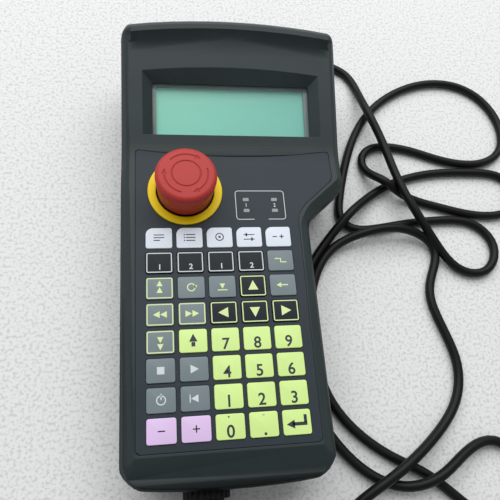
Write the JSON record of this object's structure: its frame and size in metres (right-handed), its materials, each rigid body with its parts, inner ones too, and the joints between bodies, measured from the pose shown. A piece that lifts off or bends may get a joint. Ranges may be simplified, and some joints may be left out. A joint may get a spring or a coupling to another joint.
{
  "type": "teach pendant",
  "caption": "Hand-held teach pendant: bent two-part housing, key pad, recessed display, push-and-turn stop button, and a long cable laid in loops and a coil with a round plug.",
  "frame": {"origin": "on the flat back of the grip, under the middle of the housing (cable and gland left out)", "axes": "+X to the right across the face, +Y along the pendant towards the head, +Z out of the key face"},
  "size_m": [0.2411, 0.377, 0.0567],
  "materials": {
    "housing": "fine spark-eroded grain",
    "housing_back": "fine spark-eroded grain",
    "steel": "zinc plated",
    "overlay": "printed polyester film, satin",
    "mat": "silicone",
    "board": "glass-fibre board with solder mask",
    "light_pipe": "clouded clear plastic",
    "window": "clear acrylic",
    "bezel": "painted frame",
    "display": "green liquid-crystal glass",
    "ring_yellow": "smooth",
    "switch_body": "moulded",
    "stem_white": "moulded",
    "mushroom_red": "moulded, satin",
    "gland": "moulded",
    "rubber_black": "matt",
    "cable_black": "smooth jacket",
    "plug_metal": "satin",
    "key_white": "satin film",
    "key_dark": "satin film",
    "key_grey": "satin film",
    "key_lime": "satin film",
    "key_pink": "satin film"
  },
  "bodies": {
    "housing": {"front_shell": "housing", "rear_cover": "housing_back", "housing_screws": "steel", "keypad_overlay": "overlay", "switch_mat": "mat", "keypad_board": "board", "main_board": "board", "mode_leds": "light_pipe", "display_window": "window", "display_bezel": "bezel", "display_module": "display", "stop_ring": "ring_yellow", "stop_switch_block": "switch_body", "cable_gland": "gland", "strain_relief": "rubber_black", "cord": "cable_black", "cord_coil": "cable_black", "connector": "plug_metal"},
    "stop_plunger": {"stop_plunger": "stem_white"},
    "stop_button_head": {"stop_button_head": "mushroom_red"},
    "key_r1_c1": {"key_r1_c1": "key_white"},
    "key_r1_c2": {"key_r1_c2": "key_white"},
    "key_r1_c3": {"key_r1_c3": "key_white"},
    "key_r1_c4": {"key_r1_c4": "key_white"},
    "key_r1_c5": {"key_r1_c5": "key_white"},
    "key_r2_c1": {"key_r2_c1": "key_dark"},
    "key_r2_c2": {"key_r2_c2": "key_dark"},
    "key_r2_c3": {"key_r2_c3": "key_dark"},
    "key_r2_c4": {"key_r2_c4": "key_dark"},
    "key_r2_c5": {"key_r2_c5": "key_grey"},
    "key_r3_c1": {"key_r3_c1": "key_grey"},
    "key_r3_c2": {"key_r3_c2": "key_grey"},
    "key_r3_c3": {"key_r3_c3": "key_grey"},
    "key_r3_c4": {"key_r3_c4": "key_dark"},
    "key_r3_c5": {"key_r3_c5": "key_grey"},
    "key_r4_c1": {"key_r4_c1": "key_grey"},
    "key_r4_c2": {"key_r4_c2": "key_grey"},
    "key_r4_c3": {"key_r4_c3": "key_dark"},
    "key_r4_c4": {"key_r4_c4": "key_dark"},
    "key_r4_c5": {"key_r4_c5": "key_dark"},
    "key_r5_c1": {"key_r5_c1": "key_grey"},
    "key_r5_c2": {"key_r5_c2": "key_lime"},
    "key_r5_c3": {"key_r5_c3": "key_lime"},
    "key_r5_c4": {"key_r5_c4": "key_lime"},
    "key_r5_c5": {"key_r5_c5": "key_lime"},
    "key_r6_c1": {"key_r6_c1": "key_grey"},
    "key_r6_c2": {"key_r6_c2": "key_grey"},
    "key_r6_c3": {"key_r6_c3": "key_lime"},
    "key_r6_c4": {"key_r6_c4": "key_lime"},
    "key_r6_c5": {"key_r6_c5": "key_lime"},
    "key_r7_c1": {"key_r7_c1": "key_grey"},
    "key_r7_c2": {"key_r7_c2": "key_grey"},
    "key_r7_c3": {"key_r7_c3": "key_lime"},
    "key_r7_c4": {"key_r7_c4": "key_lime"},
    "key_r7_c5": {"key_r7_c5": "key_lime"},
    "key_r8_c1": {"key_r8_c1": "key_pink"},
    "key_r8_c2": {"key_r8_c2": "key_pink"},
    "key_r8_c3": {"key_r8_c3": "key_lime"},
    "key_r8_c4": {"key_r8_c4": "key_lime"},
    "key_r8_c5": {"key_r8_c5": "key_lime"}
  },
  "joints": [
    {"name": "emergency_push", "type": "slide", "parent": "housing", "child": "stop_plunger", "axis": [0, 0, -1], "range_m": [0, 0.004]},
    {"name": "emergency_twist", "type": "hinge", "parent": "stop_plunger", "child": "stop_button_head", "pos_m": [-0.0264, 0.019, 0.035], "axis": [0, 0, -1], "range_deg": [0, 40], "stiffness_Nm_per_rad": 0.05},
    {"name": "key_r1_c1_press", "type": "slide", "parent": "housing", "child": "key_r1_c1", "axis": [0, 0, -1], "range_m": [0, 0.0005], "stiffness_N_per_m": 1000},
    {"name": "key_r1_c2_press", "type": "slide", "parent": "housing", "child": "key_r1_c2", "axis": [0, 0, -1], "range_m": [0, 0.0005], "stiffness_N_per_m": 1000},
    {"name": "key_r1_c3_press", "type": "slide", "parent": "housing", "child": "key_r1_c3", "axis": [0, 0, -1], "range_m": [0, 0.0005], "stiffness_N_per_m": 1000},
    {"name": "key_r1_c4_press", "type": "slide", "parent": "housing", "child": "key_r1_c4", "axis": [0, 0, -1], "range_m": [0, 0.0005], "stiffness_N_per_m": 1000},
    {"name": "key_r1_c5_press", "type": "slide", "parent": "housing", "child": "key_r1_c5", "axis": [0, 0, -1], "range_m": [0, 0.0005], "stiffness_N_per_m": 1000},
    {"name": "key_r2_c1_press", "type": "slide", "parent": "housing", "child": "key_r2_c1", "axis": [0, 0, -1], "range_m": [0, 0.0005], "stiffness_N_per_m": 1000},
    {"name": "key_r2_c2_press", "type": "slide", "parent": "housing", "child": "key_r2_c2", "axis": [0, 0, -1], "range_m": [0, 0.0005], "stiffness_N_per_m": 1000},
    {"name": "key_r2_c3_press", "type": "slide", "parent": "housing", "child": "key_r2_c3", "axis": [0, 0, -1], "range_m": [0, 0.0005], "stiffness_N_per_m": 1000},
    {"name": "key_r2_c4_press", "type": "slide", "parent": "housing", "child": "key_r2_c4", "axis": [0, 0, -1], "range_m": [0, 0.0005], "stiffness_N_per_m": 1000},
    {"name": "key_r2_c5_press", "type": "slide", "parent": "housing", "child": "key_r2_c5", "axis": [0, 0, -1], "range_m": [0, 0.0005], "stiffness_N_per_m": 1000},
    {"name": "key_r3_c1_press", "type": "slide", "parent": "housing", "child": "key_r3_c1", "axis": [0, 0, -1], "range_m": [0, 0.0005], "stiffness_N_per_m": 1000},
    {"name": "key_r3_c2_press", "type": "slide", "parent": "housing", "child": "key_r3_c2", "axis": [0, 0, -1], "range_m": [0, 0.0005], "stiffness_N_per_m": 1000},
    {"name": "key_r3_c3_press", "type": "slide", "parent": "housing", "child": "key_r3_c3", "axis": [0, 0, -1], "range_m": [0, 0.0005], "stiffness_N_per_m": 1000},
    {"name": "key_r3_c4_press", "type": "slide", "parent": "housing", "child": "key_r3_c4", "axis": [0, 0, -1], "range_m": [0, 0.0005], "stiffness_N_per_m": 1000},
    {"name": "key_r3_c5_press", "type": "slide", "parent": "housing", "child": "key_r3_c5", "axis": [0, 0, -1], "range_m": [0, 0.0005], "stiffness_N_per_m": 1000},
    {"name": "key_r4_c1_press", "type": "slide", "parent": "housing", "child": "key_r4_c1", "axis": [0, 0, -1], "range_m": [0, 0.0005], "stiffness_N_per_m": 1000},
    {"name": "key_r4_c2_press", "type": "slide", "parent": "housing", "child": "key_r4_c2", "axis": [0, 0, -1], "range_m": [0, 0.0005], "stiffness_N_per_m": 1000},
    {"name": "key_r4_c3_press", "type": "slide", "parent": "housing", "child": "key_r4_c3", "axis": [0, 0, -1], "range_m": [0, 0.0005], "stiffness_N_per_m": 1000},
    {"name": "key_r4_c4_press", "type": "slide", "parent": "housing", "child": "key_r4_c4", "axis": [0, 0, -1], "range_m": [0, 0.0005], "stiffness_N_per_m": 1000},
    {"name": "key_r4_c5_press", "type": "slide", "parent": "housing", "child": "key_r4_c5", "axis": [0, 0, -1], "range_m": [0, 0.0005], "stiffness_N_per_m": 1000},
    {"name": "key_r5_c1_press", "type": "slide", "parent": "housing", "child": "key_r5_c1", "axis": [0, 0, -1], "range_m": [0, 0.0005], "stiffness_N_per_m": 1000},
    {"name": "key_r5_c2_press", "type": "slide", "parent": "housing", "child": "key_r5_c2", "axis": [0, 0, -1], "range_m": [0, 0.0005], "stiffness_N_per_m": 1000},
    {"name": "key_r5_c3_press", "type": "slide", "parent": "housing", "child": "key_r5_c3", "axis": [0, 0, -1], "range_m": [0, 0.0005], "stiffness_N_per_m": 1000},
    {"name": "key_r5_c4_press", "type": "slide", "parent": "housing", "child": "key_r5_c4", "axis": [0, 0, -1], "range_m": [0, 0.0005], "stiffness_N_per_m": 1000},
    {"name": "key_r5_c5_press", "type": "slide", "parent": "housing", "child": "key_r5_c5", "axis": [0, 0, -1], "range_m": [0, 0.0005], "stiffness_N_per_m": 1000},
    {"name": "key_r6_c1_press", "type": "slide", "parent": "housing", "child": "key_r6_c1", "axis": [0, 0, -1], "range_m": [0, 0.0005], "stiffness_N_per_m": 1000},
    {"name": "key_r6_c2_press", "type": "slide", "parent": "housing", "child": "key_r6_c2", "axis": [0, 0, -1], "range_m": [0, 0.0005], "stiffness_N_per_m": 1000},
    {"name": "key_r6_c3_press", "type": "slide", "parent": "housing", "child": "key_r6_c3", "axis": [0, 0, -1], "range_m": [0, 0.0005], "stiffness_N_per_m": 1000},
    {"name": "key_r6_c4_press", "type": "slide", "parent": "housing", "child": "key_r6_c4", "axis": [0, 0, -1], "range_m": [0, 0.0005], "stiffness_N_per_m": 1000},
    {"name": "key_r6_c5_press", "type": "slide", "parent": "housing", "child": "key_r6_c5", "axis": [0, 0, -1], "range_m": [0, 0.0005], "stiffness_N_per_m": 1000},
    {"name": "key_r7_c1_press", "type": "slide", "parent": "housing", "child": "key_r7_c1", "axis": [0, 0, -1], "range_m": [0, 0.0005], "stiffness_N_per_m": 1000},
    {"name": "key_r7_c2_press", "type": "slide", "parent": "housing", "child": "key_r7_c2", "axis": [0, 0, -1], "range_m": [0, 0.0005], "stiffness_N_per_m": 1000},
    {"name": "key_r7_c3_press", "type": "slide", "parent": "housing", "child": "key_r7_c3", "axis": [0, 0, -1], "range_m": [0, 0.0005], "stiffness_N_per_m": 1000},
    {"name": "key_r7_c4_press", "type": "slide", "parent": "housing", "child": "key_r7_c4", "axis": [0, 0, -1], "range_m": [0, 0.0005], "stiffness_N_per_m": 1000},
    {"name": "key_r7_c5_press", "type": "slide", "parent": "housing", "child": "key_r7_c5", "axis": [0, 0, -1], "range_m": [0, 0.0005], "stiffness_N_per_m": 1000},
    {"name": "key_r8_c1_press", "type": "slide", "parent": "housing", "child": "key_r8_c1", "axis": [0, 0, -1], "range_m": [0, 0.0005], "stiffness_N_per_m": 1000},
    {"name": "key_r8_c2_press", "type": "slide", "parent": "housing", "child": "key_r8_c2", "axis": [0, 0, -1], "range_m": [0, 0.0005], "stiffness_N_per_m": 1000},
    {"name": "key_r8_c3_press", "type": "slide", "parent": "housing", "child": "key_r8_c3", "axis": [0, 0, -1], "range_m": [0, 0.0005], "stiffness_N_per_m": 1000},
    {"name": "key_r8_c4_press", "type": "slide", "parent": "housing", "child": "key_r8_c4", "axis": [0, 0, -1], "range_m": [0, 0.0005], "stiffness_N_per_m": 1000},
    {"name": "key_r8_c5_press", "type": "slide", "parent": "housing", "child": "key_r8_c5", "axis": [0, 0, -1], "range_m": [0, 0.0005], "stiffness_N_per_m": 1000}
  ]
}
